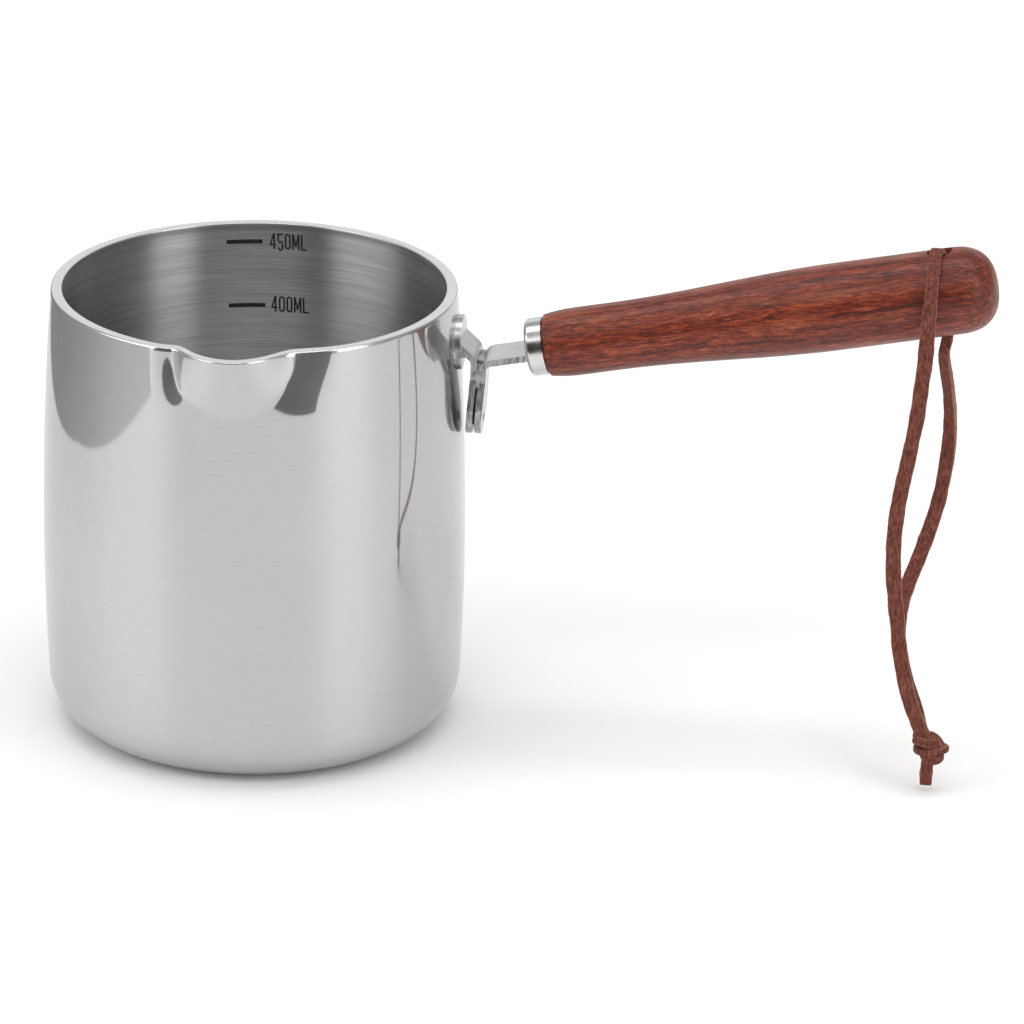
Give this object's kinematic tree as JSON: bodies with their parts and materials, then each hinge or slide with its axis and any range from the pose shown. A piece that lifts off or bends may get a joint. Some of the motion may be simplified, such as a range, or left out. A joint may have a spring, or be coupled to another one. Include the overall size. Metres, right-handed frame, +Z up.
{
  "type": "candle melting pot",
  "caption": "Small steel melting pot with a pouring spout, a bent strip bracket, a turned wooden handle with a steel ferrule, and a knotted leather hanging lace.",
  "frame": {"origin": "middle of the flat base, on the pot's axis", "axes": "+X out along the handle, +Z up, spout near -Y"},
  "size_m": [0.1904, 0.0876, 0.1082],
  "materials": {
    "polished_steel": "mirror polished outside with faint turning lines, lathe brushed inside",
    "bracket_steel": "satin sheet steel with sheared edges",
    "weld_steel": "small uneven weld beads",
    "ferrule_steel": "polished",
    "handle_wood": "dark red-brown hardwood, fine streaky grain, satin varnish",
    "lace_leather": "dark brown suede with paler cut edges"
  },
  "bodies": {
    "pot": {"pot_body": "polished_steel", "bracket_pad": "bracket_steel", "pad_weld": "weld_steel", "pot_strip": "bracket_steel", "handle_strip": "bracket_steel", "neck_weld": "weld_steel", "ferrule": "ferrule_steel", "wood_handle": "handle_wood", "lace_upper": "lace_leather"},
    "lace": {"lace_front": "lace_leather", "lace_rear": "lace_leather", "lace_knot": "lace_leather", "lace_tail_front": "lace_leather", "lace_tail_rear": "lace_leather"}
  },
  "joints": [
    {"name": "lace_swing", "type": "hinge", "parent": "pot", "child": "lace", "pos_m": [0.1363, -0.0057, 0.0875], "axis": [0.386, 0.9225, 0], "range_deg": [-60, 60]}
  ]
}
